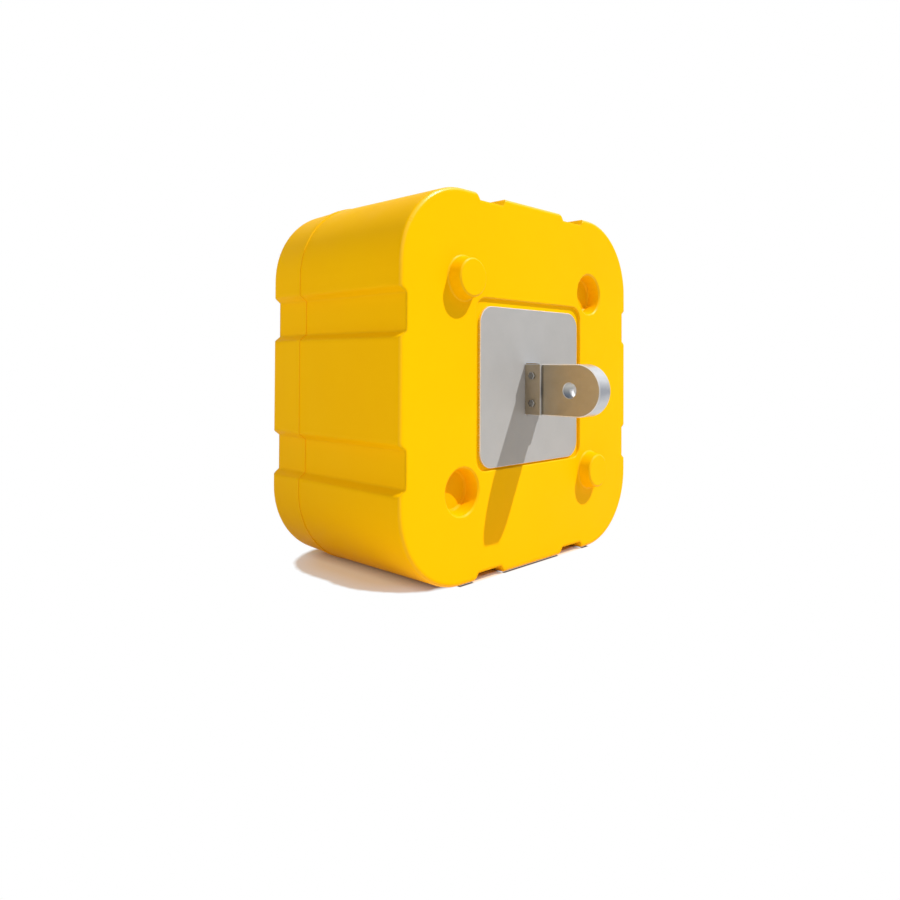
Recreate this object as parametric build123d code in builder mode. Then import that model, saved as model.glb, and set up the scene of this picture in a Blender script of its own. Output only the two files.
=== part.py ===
"""Modular foam-filled mooring float with a through tension bar.

All sizes in millimetres. X runs across, Y runs from the front face to the back
face, Z is up. The float stands on its underside at Z = 0, and the middle of its
depth is at Y = 0. The back face is the front face turned half a turn about Z, so
that modules plug together face to face.
"""
import math
import os

from build123d import *

os.makedirs("parts", exist_ok=True)

# Float body
WIDTH = 1000.0
HEIGHT = 1000.0
DEPTH = 530.0
CORNER_R = 215.0
RIM_R = 10.0

# Mould parting bead and the drafted rear of the body behind it
BEAD_FROM_FRONT = 404.0
BEAD_WIDTH = 16.0
BEAD_RAISE = 2.0
REAR_DRAFT = 2.0

# Strap grooves, two on each of the four sides
GROOVE_INSET = 315.0
SIDE_GROOVE_DROP = 8.0
TOP_GROOVE_SHIFT = 8.0
GROOVE_MOUTH_W = 121.0
GROOVE_FLOOR_W = 90.0
GROOVE_DEEP = 20.5
GROOVE_LIP_R = 7.0

# End plates and the recesses they sit in
PLATE_W = 438.0
PLATE_H = 424.0
PLATE_R = 45.0
PLATE_T = 8.0
PLATE_DROP = 4.5
PLATE_BREAK = 1.2
RECESS_BESIDE = 17.0
RECESS_BELOW = 6.0
RECESS_ABOVE = 21.0
RECESS_R = 38.0
RECESS_LIP = 2.0

# Coupling pegs and sockets, each in a corner outside the recess
PEG_OUT_X = 49.0
PEG_OUT_Z = 43.0
PEG_BASE_R = 56.0
PEG_TIP_R = 48.5
PEG_TALL = 36.0
PEG_TIP_BREAK = 3.5
PEG_ROOT_BREAK = 3.0
SOCKET_PLAY = 4.5
SOCKET_CLEAR = 5.0
SOCKET_LIP_BREAK = 4.0
SOCKET_ROOT_BREAK = 5.0

# Tension bar
BAR_T = 52.0
BAR_H = 139.5
BAR_OUT = 235.0
BAR_DROP = 13.0
BAR_BREAK = 2.5
BAR_PLAY = 2.0
EYE_D = 41.0
EYE_OUT = 142.0
EYE_BREAK = 1.5

# Keepers and their bolts
KEEPER_T = 8.0
KEEPER_LONG = 53.0
KEEPER_BREAK = 1.0
BOLT_D = 12.0
BOLT_PLAY = 1.0
BOLT_SPREAD = 37.5
HEAD_AF = 19.0
HEAD_T = 7.5
HEAD_BREAK = 1.5
NUT_T = 10.0
BOLT_PROUD = 4.0

# Sizes that follow from those above
MID = HEIGHT / 2 + BEAD_RAISE
FACE = DEPTH / 2
REAR_SLOPE = math.tan(math.radians(REAR_DRAFT))
REAR_INSET = (DEPTH - BEAD_FROM_FRONT) * REAR_SLOPE
RECESS_W = PLATE_W + 2 * RECESS_BESIDE
RECESS_H = PLATE_H + RECESS_BELOW + RECESS_ABOVE
RECESS_RISE = (RECESS_ABOVE - RECESS_BELOW) / 2 - PLATE_DROP
PEG_X = RECESS_W / 2 + PEG_OUT_X
PEG_Z = RECESS_H / 2 + PEG_OUT_Z
PEG_SLOPE = (PEG_BASE_R - PEG_TIP_R) / PEG_TALL
SOCKET_R = PEG_BASE_R + SOCKET_PLAY
SOCKET_DEEP = PEG_TALL + SOCKET_CLEAR
SOCKET_FLOOR_R = SOCKET_R - SOCKET_DEEP * PEG_SLOPE
BAR_LONG = DEPTH + 2 * BAR_OUT
BAR_Z = MID - BAR_DROP
SLOT_W = BAR_T + 2 * BAR_PLAY
SLOT_H = BAR_H + 2 * BAR_PLAY
HOLE_R = (BOLT_D + BOLT_PLAY) / 2
GRIP = BAR_T + 2 * KEEPER_T

# How near a point must lie to a wanted place to be picked there
NEAR = 0.01
# The arc that rounds a rim over its radius: a little flatter, so that it crosses both faces at a clear angle
RIM_EASE = 1.06

# End faces by name: -1 is the front, 1 the back
ENDS = {"front": -1, "back": 1}

# The four sides of the outline: turn about the middle, distance out, spread of the two grooves, shift
SIDES = (
    (0, WIDTH / 2, HEIGHT / 2 - GROOVE_INSET, -SIDE_GROOVE_DROP),
    (90, HEIGHT / 2, WIDTH / 2 - GROOVE_INSET, -TOP_GROOVE_SHIFT),
    (180, WIDTH / 2, HEIGHT / 2 - GROOVE_INSET, SIDE_GROOVE_DROP),
    (270, HEIGHT / 2, WIDTH / 2 - GROOVE_INSET, TOP_GROOVE_SHIFT),
)


def end_plane(side, out=0.0):
    """Sketching plane on an end face or a distance out from it, with X to the right as seen from outside."""
    return Plane(origin=(0, side * (FACE + out), MID), x_dir=(-side, 0, 0), z_dir=(0, side, 0))


def at_groove_mouths():
    """Middles of the eight groove mouths on the outline, each with X pointing out of its side."""
    return [
        Location((0, 0, 0), (0, 0, turn)) * Location((reach, shift + hand * spread, 0))
        for turn, reach, spread, shift in SIDES
        for hand in (-1, 1)
    ]


def groove_lips(sketch):
    """Corners of the outline where a groove wall meets a side."""
    return [
        v
        for v in sketch.vertices()
        if abs(max(abs(v.X) - WIDTH / 2, abs(v.Y) - HEIGHT / 2)) < NEAR
        and (abs(v.X) < WIDTH / 2 - CORNER_R - NEAR or abs(v.Y) < HEIGHT / 2 - CORNER_R - NEAR)
    ]


# Outline of the body across the grooves, with their lips rounded
with BuildSketch() as outline:
    RectangleRounded(WIDTH, HEIGHT, CORNER_R)
    with Locations(at_groove_mouths()):
        Polygon(
            (0, GROOVE_MOUTH_W / 2),
            (0, -GROOVE_MOUTH_W / 2),
            (-GROOVE_DEEP, -GROOVE_FLOOR_W / 2),
            (-GROOVE_DEEP, GROOVE_FLOOR_W / 2),
            align=None,
            mode=Mode.SUBTRACT,
        )
    fillet(groove_lips(outline), GROOVE_LIP_R)

# Float body: straight as far as the parting bead and drafted behind it
with BuildPart() as float_body:
    with BuildSketch(end_plane(-1)):
        add(outline.sketch)
    extrude(amount=-BEAD_FROM_FRONT)
    with BuildSketch(end_plane(1, BEAD_FROM_FRONT - DEPTH)):
        add(outline.sketch.mirror(Plane.YZ))
    extrude(amount=DEPTH - BEAD_FROM_FRONT, taper=REAR_DRAFT)
    # Rounded rims, each cut by a corner profile swept once round the end face
    for side, inset, slope in ((-1, 0, 0), (1, REAR_INSET, REAR_SLOPE)):
        with BuildSketch(end_plane(side), mode=Mode.PRIVATE) as end:
            RectangleRounded(WIDTH - 2 * inset, HEIGHT - 2 * inset, CORNER_R - inset)
        rim = end.sketch.wire()
        outward = (rim % 0).cross(Vector(0, side, 0))
        across = Plane(origin=rim @ 0, x_dir=outward, z_dir=outward.cross(Vector(0, side, 0)))
        with BuildSketch(across, mode=Mode.PRIVATE) as waste:
            with BuildLine():
                on_face = (-RIM_R, 0)
                on_wall = (RIM_R * slope, -RIM_R)
                Polyline(on_face, (-RIM_R, RIM_R), (2 * RIM_R, RIM_R), (2 * RIM_R, -RIM_R), on_wall)
                RadiusArc(on_wall, on_face, -RIM_EASE * RIM_R)
            make_face()
        sweep(sections=waste.sketch, path=rim, mode=Mode.SUBTRACT)
    # Parting bead
    with BuildSketch(end_plane(-1, -BEAD_FROM_FRONT + BEAD_WIDTH / 2)):
        add(outline.sketch)
        offset(amount=BEAD_RAISE, kind=Kind.ARC)
    extrude(amount=-BEAD_WIDTH)
    # Recesses for the end plates
    for side in ENDS.values():
        with BuildSketch(end_plane(side)):
            with Locations((0, RECESS_RISE)):
                RectangleRounded(RECESS_W, RECESS_H, RECESS_R)
        extrude(amount=-PLATE_T, mode=Mode.SUBTRACT)
        ends = float_body.faces().filter_by_position(Axis.Y, side * FACE - NEAR, side * FACE + NEAR)
        chamfer(ends.sort_by(SortBy.AREA)[-1].inner_wires().edges(), RECESS_LIP)
        # Pegs on one diagonal and sockets on the other
        with Locations(end_plane(side)):
            with Locations((-PEG_X, RECESS_RISE + PEG_Z), (PEG_X, RECESS_RISE - PEG_Z)):
                Cone(PEG_BASE_R, PEG_TIP_R, PEG_TALL, align=(Align.CENTER, Align.CENTER, Align.MIN))
            with Locations((-PEG_X, RECESS_RISE - PEG_Z), (PEG_X, RECESS_RISE + PEG_Z)):
                Cone(
                    SOCKET_FLOOR_R,
                    SOCKET_R,
                    SOCKET_DEEP,
                    align=(Align.CENTER, Align.CENTER, Align.MAX),
                    mode=Mode.SUBTRACT,
                )
    for ring, size in (
        (PEG_TIP_R, PEG_TIP_BREAK),
        (PEG_BASE_R, PEG_ROOT_BREAK),
        (SOCKET_R, SOCKET_LIP_BREAK),
        (SOCKET_FLOOR_R, SOCKET_ROOT_BREAK),
    ):
        circles = float_body.edges().filter_by(GeomType.CIRCLE)
        chamfer([e for e in circles if abs(e.radius - ring) < NEAR], size)
    # Slot for the tension bar, right through
    with BuildSketch(Plane.XZ.offset(FACE)):
        with Locations((0, BAR_Z)):
            Rectangle(SLOT_W, SLOT_H)
    extrude(amount=-DEPTH, mode=Mode.SUBTRACT)
float_body.part.label = "float_body"
export_step(float_body.part, "parts/float_body.step")

# End plates
for name, side in ENDS.items():
    with BuildPart() as end_plate:
        with BuildSketch(end_plane(side, -PLATE_T)):
            with Locations((0, -PLATE_DROP)):
                RectangleRounded(PLATE_W, PLATE_H, PLATE_R)
            with Locations((0, -BAR_DROP)):
                Rectangle(SLOT_W, SLOT_H, mode=Mode.SUBTRACT)
        extrude(amount=PLATE_T)
        outer = end_plate.faces().sort_by(Axis.Y)[0 if side < 0 else -1].outer_wire().edges()
        chamfer(outer, PLATE_BREAK)
    end_plate.part.label = "end_plate_" + name
    export_step(end_plate.part, "parts/end_plate_" + name + ".step")

# Tension bar with an eye at each end
with BuildPart() as tension_bar:
    with BuildSketch(Plane.YZ):
        with Locations((0, BAR_Z)):
            SlotOverall(BAR_LONG, BAR_H)
    extrude(amount=BAR_T / 2, both=True)
    chamfer(tension_bar.faces().filter_by(Axis.X).edges(), BAR_BREAK)
    with BuildSketch(Plane.YZ):
        with Locations((-FACE - EYE_OUT, BAR_Z), (FACE + EYE_OUT, BAR_Z)):
            Circle(EYE_D / 2)
    extrude(amount=BAR_T / 2, both=True, mode=Mode.SUBTRACT)
    rings = tension_bar.edges().filter_by(GeomType.CIRCLE)
    chamfer([e for e in rings if abs(e.radius - EYE_D / 2) < NEAR], EYE_BREAK)
    with BuildSketch(Plane.YZ):
        with Locations((-FACE - KEEPER_LONG / 2, BAR_Z), (FACE + KEEPER_LONG / 2, BAR_Z)):
            with Locations((0, -BOLT_SPREAD), (0, BOLT_SPREAD)):
                Circle(HOLE_R)
    extrude(amount=BAR_T / 2, both=True, mode=Mode.SUBTRACT)
tension_bar.part.label = "tension_bar"
export_step(tension_bar.part, "parts/tension_bar.step")

# Keepers, one on each side of the bar at each end
for name, side in ENDS.items():
    for hand, way in (("left", -1), ("right", 1)):
        with BuildPart() as keeper:
            with BuildSketch(Plane.YZ.offset(way * BAR_T / 2)):
                with Locations((side * (FACE + KEEPER_LONG / 2), BAR_Z)):
                    Rectangle(KEEPER_LONG, BAR_H)
                    with Locations((0, -BOLT_SPREAD), (0, BOLT_SPREAD)):
                        Circle(HOLE_R, mode=Mode.SUBTRACT)
            extrude(amount=way * KEEPER_T)
            outside = keeper.faces().sort_by(Axis.X)[0 if way < 0 else -1]
            chamfer(outside.outer_wire().edges(), KEEPER_BREAK)
        keeper.part.label = "keeper_" + name + "_" + hand
        export_step(keeper.part, "parts/keeper_" + name + "_" + hand + ".step")

# Bolts through both keepers and the bar, with their nuts
for name, side in ENDS.items():
    for level, up in (("lower", -1), ("upper", 1)):
        spot = (side * (FACE + KEEPER_LONG / 2), BAR_Z + up * BOLT_SPREAD)
        with BuildPart() as bolt:
            with BuildSketch(Plane.YZ.offset(-GRIP / 2)):
                with Locations(spot):
                    RegularPolygon(HEAD_AF / 2, 6, major_radius=False)
            extrude(amount=-HEAD_T)
            crown = bolt.faces().sort_by(Axis.X)[0]
            chamfer(crown.edges(), HEAD_BREAK)
            with BuildSketch(Plane.YZ.offset(-GRIP / 2)):
                with Locations(spot):
                    Circle(BOLT_D / 2)
            extrude(amount=GRIP + NUT_T + BOLT_PROUD)
        bolt.part.label = "bolt_" + name + "_" + level
        export_step(bolt.part, "parts/bolt_" + name + "_" + level + ".step")
        with BuildPart() as nut:
            with BuildSketch(Plane.YZ.offset(GRIP / 2)):
                with Locations(spot):
                    RegularPolygon(HEAD_AF / 2, 6, major_radius=False)
                    Circle(BOLT_D / 2, mode=Mode.SUBTRACT)
            extrude(amount=NUT_T)
        nut.part.label = "nut_" + name + "_" + level
        export_step(nut.part, "parts/nut_" + name + "_" + level + ".step")
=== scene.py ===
"""Finishes, light, camera and floor for the modular mooring float."""
import math

import bpy
from mathutils import Matrix, Vector

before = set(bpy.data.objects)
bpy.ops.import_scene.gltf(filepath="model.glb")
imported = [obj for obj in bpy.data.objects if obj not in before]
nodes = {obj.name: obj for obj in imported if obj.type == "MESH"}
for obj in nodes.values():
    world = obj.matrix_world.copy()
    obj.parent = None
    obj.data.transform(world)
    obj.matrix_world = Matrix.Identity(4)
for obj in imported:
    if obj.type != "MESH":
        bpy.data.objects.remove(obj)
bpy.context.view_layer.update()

# Camera: where it stands, how it is turned in radians, and how it frames
CAMERA_AT = (-1.6259, -1.5021, 0.5562)
CAMERA_YAW = 0.80743
CAMERA_PITCH = -0.01429
CAMERA_ROLL = 0.005
CAMERA_LENS = 29.05
CAMERA_SENSOR = 36.0
CAMERA_RISE = -0.1065
CAMERA_REACH = 100.0

# Light: a high white sun from the front right, a wide warm light from the left and a pale even sky
SUN_TRAVEL = (-0.3720, 0.4847, -0.7916)
SUN_POWER = 3.22
SUN_SPREAD = 0.6
SIDE_TRAVEL = (0.92, 0.06, -0.26)
SIDE_POWER = 0.66
SIDE_TINT = (1.0, 0.93, 0.82)
SIDE_SPREAD = 70.0
SKY_POWER = 0.37
SKY_TINT = (1.0, 0.96, 0.93)

# Colours, written as they look, 0 to 255
YELLOW = (253, 196, 0)
YELLOW_DEEP = (250, 188, 0)
# edge wear that is partly a painted highlight: sharp plastic edges are lightened towards this colour
YELLOW_WEAR_AND_HIGHLIGHT = (255, 224, 90)
# painted shade: the deeper orange laid inside the sockets stands in for their shade
YELLOW_SOCKET_SHADE = (240, 168, 0)
YELLOW_GLINT = (255, 250, 220)
SHEET_STEEL = (174, 174, 174)
SHEET_CLOUD = (162, 162, 162)
# painted highlight: the sheet's chamfer is tinted bluish white as if it reflected the sky
SHEET_EDGE_HIGHLIGHT = (226, 230, 248)
SHEET_SIDE = (236, 232, 224)
ROLLED_STEEL = (171, 161, 141)
KEEPER_STEEL = (178, 165, 144)
CUT_STEEL = (204, 206, 210)
CUT_DULL = (143, 147, 156)
# painted highlight: the chamfered arrises of the bar and keepers are tinted near white
ARRIS_PAINTED_HIGHLIGHT = (252, 252, 252)
# painted light and shade in the eye's bore: lighter high up, darker low down
BORE_PAINTED_LIGHT = (190, 189, 184)
BORE_PAINTED_SHADE = (86, 97, 114)
# painted light: a sunlit patch in the lower far end of the bore
BORE_PAINTED_SUNLIT = (244, 246, 250)
# painted shade in the crease between the bar and the keepers
CREASE_PAINTED_SHADE = (52, 46, 38)
FASTENER_STEEL = (150, 148, 144)
FASTENER_DULL = (98, 92, 84)
FASTENER_RUBBED = (216, 218, 222)
FLOOR_PALE = (226, 224, 221)
FLOOR_SHADE = (240, 214, 170)
# painted shade: the warm colour that the floor shows to the eye near the float
FLOOR_PAINTED_WARM_SHADE = (255, 233, 200)
# painted shadow: a dark line on the floor round the float's foot
FLOOR_PAINTED_CONTACT_SHADOW = (64, 46, 28)
PLAIN_WHITE = (255, 255, 255)

# Range that most of a noise covers
NOISE = (0.3, 0.7)

# How squarely a rounded rim or a chamfer faces its axis: where its mask starts, is full, fades and ends
ROUNDED = (0.30, 0.60, 0.93, 0.99)
CHAMFERED = (0.35, 0.60, 0.80, 0.90)

# Places of the colour sockets on a Mix node
MIX_FIRST = 6
MIX_SECOND = 7
MIX_RESULT = 2

# Samples that look for the edges near a point
EDGE_SAMPLES = 6

# Places on the float that the finishes follow, in metres; a pair is where a change starts and ends
FLOAT_MIDDLE = 0.502
OUTER_ZONE = (0.37, 0.40)
SOCKET_DEPTHS = (0.226, 0.254)
LOW_PART = (0.02, 0.42)
HIGH_PART = (0.70, 0.90)
PARTING_Y = 0.139
SEAM_CLEAR = (0.010, 0.022)
GROOVE_X = 0.185
GROOVE_SHIFT = 0.008
BAR_Z = 0.489
BAR_WAIST = (0.004, 0.030)
WAIST_SWAY = 0.006
EYE_Y = 0.407
EYE_R = 0.0205
BORE_WALL = (EYE_R + 0.0006, EYE_R + 0.0012)
# span of the bore's painted shade, from dark low down to light high up
BORE_SHADE = (-0.014, 0.010)
# where the painted sunlit patch lies in the bore: across it and up from its middle
SUNLIT_PATCH_ACROSS = (-0.010, -0.002)
SUNLIT_PATCH_UP = (-0.004, 0.004)
KEEPER_END = 0.318
# where the painted crease shade lies on the bar, beside the keeper's end
CREASE_SHADE_Y = KEEPER_END + 0.0012
CREASE_SHADE_REACH = (0.0022, 0.0050)

# Plastic: rounding of edges in metres, the share of it left at the seam, tints with painted socket shade
# and edge highlight, and shine of the rims
INNER_ROUND = 0.0035
OUTER_ROUND = 0.0120
SEAM_ROUND = 0.01
CLOUD_TINT = 0.40
MOTTLE_TINT = 0.105
LOW_TINT = 0.45
# share of the painted shade inside the sockets
SOCKET_SHADE_TINT = 0.40
# share of the edge wear and painted highlight
WEAR_AND_HIGHLIGHT_TINT = 0.30
PLASTIC_ROUGH = (0.42, 0.52)
SCUFF_ROUGHER = 0.08
RIM_INSIDE = 0.65
RIM_BELOW = 0.70
RIM_ABOVE = 1.45
RIM_FALL = 1.5
RIM_PEAK = 1.75
RIM_GLINT = (0.03, 0.55)
RIM_SMOOTHER = 0.17

# Sheet: how squarely its sides face, and how far they and the chamfer are tinted (the chamfer with a
# painted highlight), smoothed and metallic
SHEET_SIDES = (0.15, 0.30)
SHEET_CLOUD_TINT = 0.35
SHEET_ROUGH = (0.50, 0.62)
SHEET_EDGE_HIGHLIGHT_TINT = 0.9
SHEET_EDGE_SMOOTHER = 0.20
SHEET_SIDE_SMOOTHER = 0.30
SHEET_SIDE_METAL = 0.92
SHEET_GLINT = 0.12

# Thick steel: how squarely its rolled faces face, how strong each tint, painted shade and painted highlight
# is, and how rough and metallic it is
ROLLED_FACE = (0.80, 0.97)
BAR_CREASE_SHADED = 0.62
KEEPER_CREASE_SHADED = 0.0
ROLLED_CLOUD = 0.5
ROLLED_DARKER = 0.90
CUT_DARKER = 0.88
MILLED_TINT = 0.20
WAIST_TINT = 0.85
STEEL_WORN = 0.35
ARRIS_HIGHLIGHT_TINT = 0.35
STEEL_ROUGH = (0.30, 0.44)
DRAWN_ROUGHER = (-0.04, 0.06)
STEEL_METAL = (0.75, 0.85)
ARRIS_LESS_METAL = 0.60
SUNLIT_PATCH_LESS_METAL = 0.60

# Fasteners: how strong their clouds are, and how rough and metallic they are
FASTENER_CLOUD = 0.6
FASTENER_ROUGH = (0.16, 0.28)
FASTENER_METAL = 0.95

# Floor, in metres: its half width, the shadow's core and end, and the float's foot and the painted shadow
# line round it
FLOOR_REACH = 12.0
SHADOW_HALF_X = 0.28
SHADOW_HALF_Y = 0.065
SHADOW_BACK = 0.03
SHADOW_RAGGED = 0.004
SHADOW_END = (0.196, 0.218)
FOOT_HALF_X = 0.285
FOOT_HALF_Y = 0.258
FOOT_FADE = (0.03, 0.11)
CONTACT_SHADOW_LINE = (0.002, 0.0075)
GROOVE_EDGE = (0.058, 0.062)
MOUTH_EDGE = (0.058, 0.064)
MOUTH_FRONT = (0.256, 0.265)
SHADE_END = (0.20, 0.5)
PAINTED_WARM_END = (0.14, 0.21)

# Floor: how white it turns beside the foot, and how much of their shade the groove mouths keep
FOOT_WHITE = 0.34
MOUTH_SHADED = 0.7


def seen(colour):
    """A colour written 0 to 255 as the linear value that a shader takes."""
    shares = (c / 255 for c in colour)
    return tuple(s / 12.92 if s <= 0.04045 else ((s + 0.055) / 1.055) ** 2.4 for s in shares) + (1.0,)


def darker(colour, share):
    """A colour brought down to a share of itself."""
    return tuple(c * share for c in colour)


class Finish:
    """A material built node by node, every pattern laid on Object coordinates."""

    def __init__(self, name):
        self.material = bpy.data.materials.new(name)
        self.material.use_nodes = True
        self.tree = self.material.node_tree
        self.tree.nodes.clear()
        self.output = self.tree.nodes.new("ShaderNodeOutputMaterial")
        self.place = self.tree.nodes.new("ShaderNodeTexCoord").outputs["Object"]

    def put(self, socket, value):
        """Links an output, or sets a plain value, on a socket."""
        if isinstance(value, bpy.types.NodeSocket):
            self.tree.links.new(value, socket)
        else:
            socket.default_value = value

    def surface(self, **values):
        """The one shader of the material."""
        shader = self.tree.nodes.new("ShaderNodeBsdfPrincipled")
        for key, value in values.items():
            self.put(shader.inputs[key.replace("_", " ")], value)
        self.tree.links.new(shader.outputs["BSDF"], self.output.inputs["Surface"])

    def grain(self, scale, detail, rough, stretch=(1, 1, 1)):
        """Noise with so many cells to the metre, stretched along the axes."""
        turn = self.tree.nodes.new("ShaderNodeMapping")
        turn.inputs["Scale"].default_value = stretch
        self.tree.links.new(self.place, turn.inputs["Vector"])
        noise = self.tree.nodes.new("ShaderNodeTexNoise")
        self.tree.links.new(turn.outputs["Vector"], noise.inputs["Vector"])
        noise.inputs["Scale"].default_value = scale
        noise.inputs["Detail"].default_value = detail
        noise.inputs["Roughness"].default_value = rough
        return noise.outputs["Fac"]

    def spread(self, value, low=0.0, high=1.0, to_low=0.0, to_high=1.0):
        """Carries a range of one value onto another range, held at its ends."""
        ramp = self.tree.nodes.new("ShaderNodeMapRange")
        self.put(ramp.inputs["Value"], value)
        ramp.inputs["From Min"].default_value = low
        ramp.inputs["From Max"].default_value = high
        ramp.inputs["To Min"].default_value = to_low
        ramp.inputs["To Max"].default_value = to_high
        return ramp.outputs["Result"]

    def until(self, value, low, high, most=1.0):
        """The most up to a low value, falling to 0 at a high one."""
        return self.spread(value, low, high, to_low=most, to_high=0.0)

    def between(self, value, start, full, fading, gone):
        """1 in the middle of a range, falling to 0 at its ends."""
        return self.times(self.spread(value, start, full), self.until(value, fading, gone))

    def step(self, how, first, second=0.0):
        """One step of arithmetic."""
        node = self.tree.nodes.new("ShaderNodeMath")
        node.operation = how
        self.put(node.inputs[0], first)
        self.put(node.inputs[1], second)
        return node.outputs["Value"]

    def plus(self, first, second):
        """The sum of two values."""
        return self.step("ADD", first, second)

    def less(self, first, second):
        """One value less another."""
        return self.step("SUBTRACT", first, second)

    def times(self, first, second):
        """The product of two values."""
        return self.step("MULTIPLY", first, second)

    def larger(self, first, second):
        """The larger of two values."""
        return self.step("MAXIMUM", first, second)

    def without(self, value):
        """What a value leaves of 1."""
        return self.less(1.0, value)

    def far(self, value, place=0.0):
        """How far a value lies from a place, on either side."""
        return self.step("ABSOLUTE", self.less(value, place))

    def length(self, first, second):
        """The length of a line with two square parts."""
        return self.step("POWER", self.plus(self.times(first, first), self.times(second, second)), 0.5)

    def blend(self, amount, first, second):
        """Two colours mixed by an amount."""
        mix = self.tree.nodes.new("ShaderNodeMix")
        mix.data_type = "RGBA"
        self.put(mix.inputs["Factor"], amount)
        self.put(mix.inputs[MIX_FIRST], first)
        self.put(mix.inputs[MIX_SECOND], second)
        return mix.outputs[MIX_RESULT]

    def softened(self, radius):
        """The normal rounded over every edge within the radius."""
        soft = self.tree.nodes.new("ShaderNodeBevel")
        soft.samples = EDGE_SAMPLES
        self.put(soft.inputs["Radius"], radius)
        return soft.outputs["Normal"]

    def edge(self, radius, sharp, flat):
        """1 on an outer or inner edge within the radius, 0 on the flats."""
        true = self.tree.nodes.new("ShaderNodeNewGeometry")
        near = self.tree.nodes.new("ShaderNodeVectorMath")
        near.operation = "DOT_PRODUCT"
        self.tree.links.new(self.softened(radius), near.inputs[0])
        self.tree.links.new(true.outputs["Normal"], near.inputs[1])
        return self.spread(near.outputs["Value"], flat, sharp)

    def part(self, vector, axis):
        """One part of a vector."""
        parts = self.tree.nodes.new("ShaderNodeSeparateXYZ")
        self.tree.links.new(vector, parts.inputs["Vector"])
        return parts.outputs[axis]

    def facing(self, axis):
        """How squarely the surface faces an axis of the object, from either side."""
        true = self.tree.nodes.new("ShaderNodeNewGeometry")
        return self.far(self.part(true.outputs["Normal"], axis))

    def along(self, axis):
        """The place of a point along an axis, in metres."""
        return self.part(self.place, axis)

    def relief(self, height, tall, strength, under=None):
        """Bump from a height of 0 to 1, so many metres tall, over another bump."""
        bump = self.tree.nodes.new("ShaderNodeBump")
        self.put(bump.inputs["Height"], height)
        bump.inputs["Distance"].default_value = tall
        bump.inputs["Strength"].default_value = strength
        if under is not None:
            self.tree.links.new(under, bump.inputs["Normal"])
        return bump.outputs["Normal"]


def moulded_plastic():
    """Satin rotomoulded polyethylene: orange peel, cloudy, deeper low down, painted shade in the sockets,
    shiny rims.
    """
    f = Finish("moulded_plastic")
    deep = seen(YELLOW_DEEP)
    height = f.along("Z")
    outward = f.larger(f.far(f.along("X")), f.far(height, FLOAT_MIDDLE))
    outward = f.spread(outward, *OUTER_ZONE)
    # painted shade: the socket insides are darkened by their depth below the front face
    socket_shade = f.times(f.without(outward), f.until(f.far(f.along("Y")), *SOCKET_DEPTHS, most=SOCKET_SHADE_TINT))

    cloud = f.spread(f.grain(scale=2.6, detail=3.0, rough=0.55), low=0.35, high=0.65, to_high=CLOUD_TINT)
    mottle = f.spread(f.grain(scale=34.0, detail=2.0, rough=0.5), *NOISE, to_high=MOTTLE_TINT)
    body = f.blend(cloud, seen(YELLOW), deep)
    body = f.blend(mottle, body, deep)
    body = f.blend(f.until(height, *LOW_PART, most=LOW_TINT), body, deep)
    body = f.blend(socket_shade, body, seen(YELLOW_SOCKET_SHADE))
    # sharp edges lightened for wear, partly a painted highlight along the rims and peg tips
    wear_and_highlight_noise = f.spread(f.grain(scale=22.0, detail=4.0, rough=0.65), low=0.34, high=0.58, to_low=0.45)
    worn = f.times(f.edge(radius=0.0020, sharp=0.80, flat=0.985), wear_and_highlight_noise)
    worn = f.times(worn, f.until(socket_shade, low=0.0, high=0.5, most=WEAR_AND_HIGHLIGHT_TINT))
    body = f.blend(worn, body, seen(YELLOW_WEAR_AND_HIGHLIGHT))

    rim = f.between(f.facing("Y"), *ROUNDED)
    rim = f.times(rim, f.less(f.spread(outward, to_low=RIM_INSIDE), socket_shade))
    rim = f.times(rim, f.spread(height, *HIGH_PART, to_low=RIM_BELOW, to_high=RIM_ABOVE))
    scuff = f.grain(scale=3.0, detail=5.0, rough=0.7, stretch=(9.0, 9.0, 90.0))
    scuff = f.spread(scuff, low=0.60, high=0.72, to_high=SCUFF_ROUGHER)
    gloss = f.spread(f.grain(scale=9.0, detail=3.0, rough=0.6), *NOISE, *PLASTIC_ROUGH)
    gloss = f.less(f.plus(gloss, scuff), f.times(f.step("MINIMUM", rim, 1.0), RIM_SMOOTHER))
    glint = f.spread(f.step("POWER", rim, RIM_FALL), 0.0, RIM_PEAK, *RIM_GLINT)

    reach = f.spread(outward, to_low=INNER_ROUND, to_high=OUTER_ROUND)
    reach = f.times(reach, f.spread(f.far(f.along("Y"), PARTING_Y), *SEAM_CLEAR, to_low=SEAM_ROUND))
    swell = f.grain(scale=7.0, detail=2.0, rough=0.4)
    peel = f.grain(scale=330.0, detail=2.0, rough=0.5)
    shape = f.relief(swell, tall=0.0030, strength=0.30, under=f.softened(reach))
    shape = f.relief(peel, tall=0.00022, strength=0.30, under=shape)
    f.surface(
        Base_Color=body,
        Roughness=gloss,
        Specular_IOR_Level=glint,
        Specular_Tint=seen(YELLOW_GLINT),
        Normal=shape,
    )
    return f.material


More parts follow.
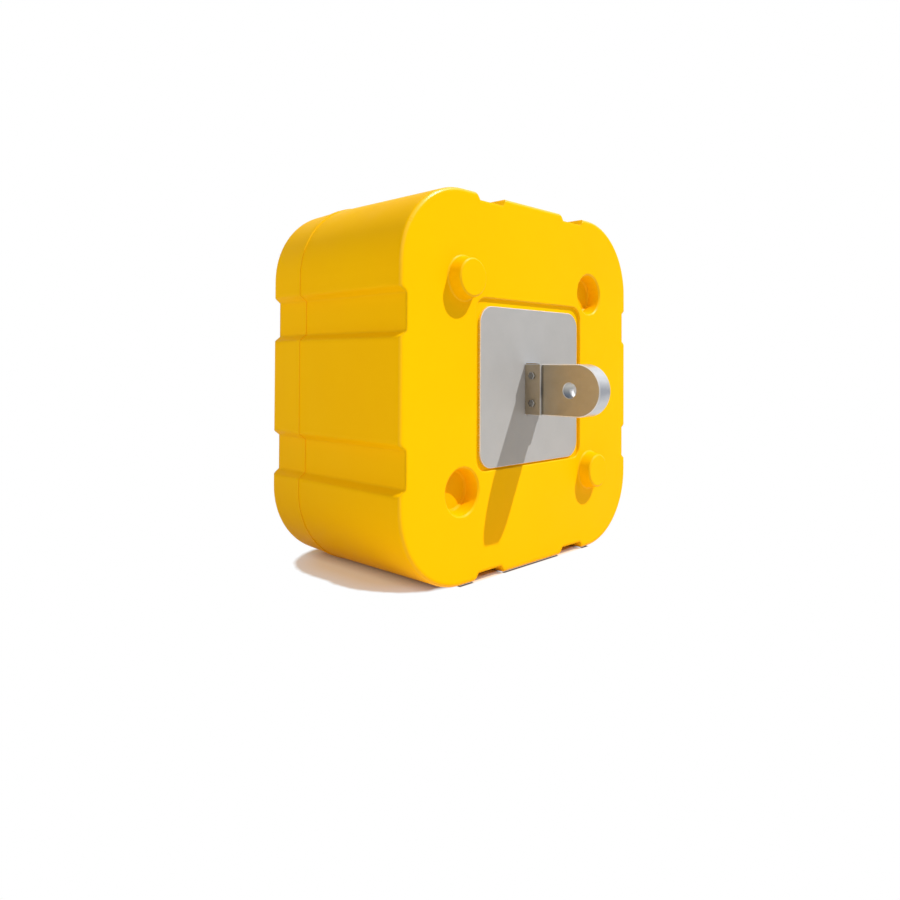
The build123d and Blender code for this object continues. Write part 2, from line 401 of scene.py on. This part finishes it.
def sheet_plate():
    """Matt rolled steel sheet: fine tooth, faint clouds, a painted bluish highlight on the chamfer, sides
    that mirror the recess.
    """
    f = Finish("sheet_plate")
    square = f.facing("Y")
    rim = f.between(square, *CHAMFERED)
    side = f.until(square, *SHEET_SIDES)
    cloud = f.spread(f.grain(scale=14.0, detail=4.0, rough=0.6), *NOISE, to_high=SHEET_CLOUD_TINT)
    tooth = f.grain(scale=1500.0, detail=2.0, rough=0.6, stretch=(1.0, 1.0, 0.25))
    tone = f.blend(cloud, seen(SHEET_STEEL), seen(SHEET_CLOUD))
    # painted highlight: the chamfer is tinted bluish white
    tone = f.blend(f.times(rim, SHEET_EDGE_HIGHLIGHT_TINT), tone, seen(SHEET_EDGE_HIGHLIGHT))
    tone = f.blend(side, tone, seen(SHEET_SIDE))
    gloss = f.spread(tooth, *NOISE, *SHEET_ROUGH)
    gloss = f.less(gloss, f.times(rim, SHEET_EDGE_SMOOTHER))
    gloss = f.less(gloss, f.times(side, SHEET_SIDE_SMOOTHER))
    f.surface(
        Base_Color=tone,
        Metallic=f.times(side, SHEET_SIDE_METAL),
        Roughness=gloss,
        Specular_IOR_Level=SHEET_GLINT,
        Normal=f.relief(tooth, tall=0.00006, strength=0.4),
    )
    return f.material


def thick_steel(name, rolled, crease_shaded):
    """Thick flat steel: dull rolled faces left and right, bright cut edges, painted arris highlight, bore
    with painted shade and a painted sunlit patch.
    """
    f = Finish(name)
    square = f.facing("X")
    face = f.spread(square, *ROLLED_FACE)
    cut = f.without(face)
    highlit_arris = f.between(square, *CHAMFERED)
    out = f.far(f.along("Y"))
    off_y = f.less(out, EYE_Y)
    off_z = f.less(f.along("Z"), BAR_Z)

    cloud = f.spread(f.grain(scale=26.0, detail=4.0, rough=0.62), *NOISE)
    drawn = f.grain(scale=60.0, detail=3.0, rough=0.6, stretch=(1.0, 0.6, 14.0))
    milled = f.grain(scale=60.0, detail=2.0, rough=0.5, stretch=(0.25, 4.0, 4.0))
    dull = f.blend(f.times(cloud, ROLLED_CLOUD), seen(rolled), seen(darker(rolled, ROLLED_DARKER)))
    # painted shade: the bar's face is darkened in a thin line along the keeper's end
    dull = f.blend(f.until(f.far(out, CREASE_SHADE_Y), *CREASE_SHADE_REACH, most=crease_shaded), dull, seen(CREASE_PAINTED_SHADE))
    streak = f.spread(milled, low=0.35, high=0.65, to_high=MILLED_TINT)
    bright = f.blend(streak, seen(CUT_STEEL), seen(darker(CUT_STEEL, CUT_DARKER)))
    sway = f.spread(cloud, to_low=-WAIST_SWAY, to_high=WAIST_SWAY)
    waist = f.until(f.far(f.plus(off_z, sway)), *BAR_WAIST, most=WAIST_TINT)
    bright = f.blend(waist, bright, seen(CUT_DULL))
    tone = f.blend(face, bright, dull)

    bore = f.times(f.until(f.length(off_y, off_z), *BORE_WALL), cut)
    # painted shade and light: the bore is darker low down and lighter high up
    bore_painted_shading = f.blend(f.spread(off_z, *BORE_SHADE), seen(BORE_PAINTED_SHADE), seen(BORE_PAINTED_LIGHT))
    # painted light: a white sunlit patch in the lower far end of the bore, made less metallic
    across = f.times(f.along("X"), f.step("SIGN", f.along("Y")))
    painted_sunlit_patch = f.times(f.until(across, *SUNLIT_PATCH_ACROSS), f.until(off_z, *SUNLIT_PATCH_UP))
    painted_sunlit_patch = f.times(painted_sunlit_patch, bore)
    tone = f.blend(bore, tone, f.blend(painted_sunlit_patch, bore_painted_shading, seen(BORE_PAINTED_SUNLIT)))
    worn = f.edge(radius=0.0015, sharp=0.80, flat=0.98)
    tone = f.blend(f.times(worn, STEEL_WORN), tone, seen(CUT_STEEL))
    # painted highlight: the chamfered arrises are tinted near white and made less metallic
    tone = f.blend(f.times(highlit_arris, ARRIS_HIGHLIGHT_TINT), tone, seen(ARRIS_PAINTED_HIGHLIGHT))

    gloss = f.times(f.spread(drawn, *NOISE, *DRAWN_ROUGHER), face)
    gloss = f.plus(f.spread(face, 0.0, 1.0, *STEEL_ROUGH), gloss)
    metal = f.less(f.spread(face, 0.0, 1.0, *STEEL_METAL), f.times(highlit_arris, ARRIS_LESS_METAL))
    metal = f.less(metal, f.times(painted_sunlit_patch, SUNLIT_PATCH_LESS_METAL))
    shape = f.relief(f.times(drawn, face), tall=0.00008, strength=0.35)
    shape = f.relief(f.times(milled, cut), tall=0.00006, strength=0.08, under=shape)
    f.surface(Base_Color=tone, Metallic=metal, Roughness=gloss, Normal=shape)
    return f.material


def plated_fastener():
    """Plated bolts and nuts with a light tooth and corners rubbed bright."""
    f = Finish("plated_fastener")
    cloud = f.spread(f.grain(scale=160.0, detail=3.0, rough=0.6), *NOISE)
    tone = f.blend(f.times(cloud, FASTENER_CLOUD), seen(FASTENER_STEEL), seen(FASTENER_DULL))
    tone = f.blend(f.edge(radius=0.0008, sharp=0.75, flat=0.97), tone, seen(FASTENER_RUBBED))
    gloss = f.spread(cloud, 0.0, 1.0, *FASTENER_ROUGH)
    shape = f.relief(f.grain(scale=1800.0, detail=2.0, rough=0.5), tall=0.00004, strength=0.4)
    f.surface(Base_Color=tone, Metallic=FASTENER_METAL, Roughness=gloss, Normal=shape)
    return f.material


def dress(finish, *names):
    """Gives a finish to every material slot of the named nodes."""
    for name in names:
        for number in range(len(nodes[name].data.materials)):
            nodes[name].data.materials[number] = finish


ends = ("front", "back")
levels = ("lower", "upper")
dress(moulded_plastic(), "float_body")
dress(sheet_plate(), *("end_plate_" + end for end in ends))
dress(thick_steel("eye_bar", ROLLED_STEEL, BAR_CREASE_SHADED), "tension_bar")
dress(
    thick_steel("keeper_plate", KEEPER_STEEL, KEEPER_CREASE_SHADED),
    *("keeper_" + end + "_" + hand for end in ends for hand in ("left", "right")),
)
dress(
    plated_fastener(),
    *(kind + "_" + end + "_" + level for kind in ("bolt", "nut") for end in ends for level in levels),
)


def two_shaders(tree, first, second, share, output):
    """Shows one shader to the light, and so much of another to the eye, also through mirrors and glass."""
    light = tree.nodes.new("ShaderNodeLightPath")
    eye = light.outputs["Is Camera Ray"]
    for kind in ("Is Glossy Ray", "Is Transmission Ray"):
        either = tree.nodes.new("ShaderNodeMath")
        either.operation = "MAXIMUM"
        tree.links.new(eye, either.inputs[0])
        tree.links.new(light.outputs[kind], either.inputs[1])
        eye = either.outputs["Value"]
    if share is not None:
        part = tree.nodes.new("ShaderNodeMath")
        part.operation = "MULTIPLY"
        tree.links.new(eye, part.inputs[0])
        tree.links.new(share, part.inputs[1])
        eye = part.outputs["Value"]
    mix = tree.nodes.new("ShaderNodeMixShader")
    tree.links.new(eye, mix.inputs["Fac"])
    tree.links.new(first, mix.inputs[1])
    tree.links.new(second, mix.inputs[2])
    tree.links.new(mix.outputs["Shader"], output.inputs["Surface"])


def pale_floor():
    """Wide floor, pale to the light; to the eye it is white away from the float's shadow, with painted warm
    shade near the float and a painted shadow line round its foot.
    """
    mesh = bpy.data.meshes.new("floor")
    corners = [(x * FLOOR_REACH, y * FLOOR_REACH, 0) for x, y in ((-1, -1), (1, -1), (1, 1), (-1, 1))]
    mesh.from_pydata(corners, [], [(0, 1, 2, 3)])
    floor = bpy.data.objects.new("floor", mesh)
    bpy.context.scene.collection.objects.link(floor)

    f = Finish("floor_pale")
    wide = f.far(f.along("X"))
    long = f.far(f.along("Y"))
    across = f.larger(f.less(wide, SHADOW_HALF_X), 0.0)
    deep = f.larger(f.less(f.far(f.along("Y"), SHADOW_BACK), SHADOW_HALF_Y), 0.0)
    away = f.length(across, deep)
    ragged = f.grain(scale=16.0, detail=3.0, rough=0.6)
    ragged = f.plus(away, f.spread(ragged, *NOISE, to_low=-SHADOW_RAGGED, to_high=SHADOW_RAGGED))
    foot = f.larger(f.less(wide, FOOT_HALF_X), f.less(long, FOOT_HALF_Y))
    fade = f.larger(f.spread(foot, *FOOT_FADE, to_high=FOOT_WHITE), f.spread(ragged, *SHADOW_END))
    from_groove = f.far(f.far(f.along("X"), GROOVE_SHIFT), GROOVE_X)
    # painted shadow: a thin dark line round the foot, broken at the grooves and kept out of the white
    painted_contact_shadow = f.times(f.until(f.far(foot), *CONTACT_SHADOW_LINE), f.spread(from_groove, *GROOVE_EDGE))
    mouth = f.times(f.until(from_groove, *MOUTH_EDGE, most=MOUTH_SHADED), f.until(long, *MOUTH_FRONT))
    fade = f.times(fade, f.without(f.larger(painted_contact_shadow, mouth)))

    matt = f.tree.nodes.new("ShaderNodeBsdfDiffuse")
    shade = f.blend(painted_contact_shadow, seen(FLOOR_SHADE), seen(FLOOR_PAINTED_CONTACT_SHADOW))
    f.put(matt.inputs["Color"], f.blend(f.spread(away, *SHADE_END), shade, seen(FLOOR_PALE)))
    white = f.tree.nodes.new("ShaderNodeEmission")
    # painted shade: to the eye the floor glows beige near the float and turns white further out
    f.put(white.inputs["Color"], f.blend(f.spread(away, *PAINTED_WARM_END), seen(FLOOR_PAINTED_WARM_SHADE), seen(PLAIN_WHITE)))
    two_shaders(f.tree, matt.outputs["BSDF"], white.outputs["Emission"], fade, f.output)
    mesh.materials.append(f.material)


def pale_sky():
    """Even pale sky that lights the float, seen as plain white."""
    world = bpy.data.worlds.new("sky")
    bpy.context.scene.world = world
    world.use_nodes = True
    tree = world.node_tree
    tree.nodes.clear()
    output = tree.nodes.new("ShaderNodeOutputWorld")
    lit = tree.nodes.new("ShaderNodeBackground")
    lit.inputs["Color"].default_value = SKY_TINT + (1.0,)
    lit.inputs["Strength"].default_value = SKY_POWER
    white = tree.nodes.new("ShaderNodeBackground")
    white.inputs["Color"].default_value = seen(PLAIN_WHITE)
    two_shaders(tree, lit.outputs["Background"], white.outputs["Background"], None, output)


def sunlight(name, travel, power, spread, tint=(1.0, 1.0, 1.0)):
    """A sun lamp whose light travels one way, spread over so many degrees."""
    lamp = bpy.data.lights.new(name, "SUN")
    lamp.color = tint
    lamp.energy = power
    lamp.angle = math.radians(spread)
    sun = bpy.data.objects.new(name, lamp)
    sun.rotation_mode = "QUATERNION"
    sun.rotation_quaternion = Vector(travel).to_track_quat("-Z", "Y")
    bpy.context.scene.collection.objects.link(sun)


def camera():
    """Camera at its place, turned by yaw, pitch and roll."""
    data = bpy.data.cameras.new("camera")
    data.lens = CAMERA_LENS
    data.sensor_width = CAMERA_SENSOR
    data.shift_y = CAMERA_RISE
    data.clip_end = CAMERA_REACH
    ahead = Vector(
        (
            math.sin(CAMERA_YAW) * math.cos(CAMERA_PITCH),
            math.cos(CAMERA_YAW) * math.cos(CAMERA_PITCH),
            -math.sin(CAMERA_PITCH),
        )
    )
    level = Vector((math.cos(CAMERA_YAW), -math.sin(CAMERA_YAW), 0))
    upright = level.cross(ahead)
    right = level * math.cos(CAMERA_ROLL) + upright * math.sin(CAMERA_ROLL)
    up = upright * math.cos(CAMERA_ROLL) - level * math.sin(CAMERA_ROLL)
    stand = Matrix((right, up, -ahead)).transposed().to_4x4()
    stand.translation = Vector(CAMERA_AT)
    shot = bpy.data.objects.new("camera", data)
    shot.matrix_world = stand
    bpy.context.scene.collection.objects.link(shot)
    bpy.context.scene.camera = shot


camera()
sunlight("sun", SUN_TRAVEL, SUN_POWER, SUN_SPREAD)
sunlight("side_light", SIDE_TRAVEL, SIDE_POWER, SIDE_SPREAD, SIDE_TINT)
pale_sky()
pale_floor()
bpy.context.scene.view_settings.view_transform = "Standard"
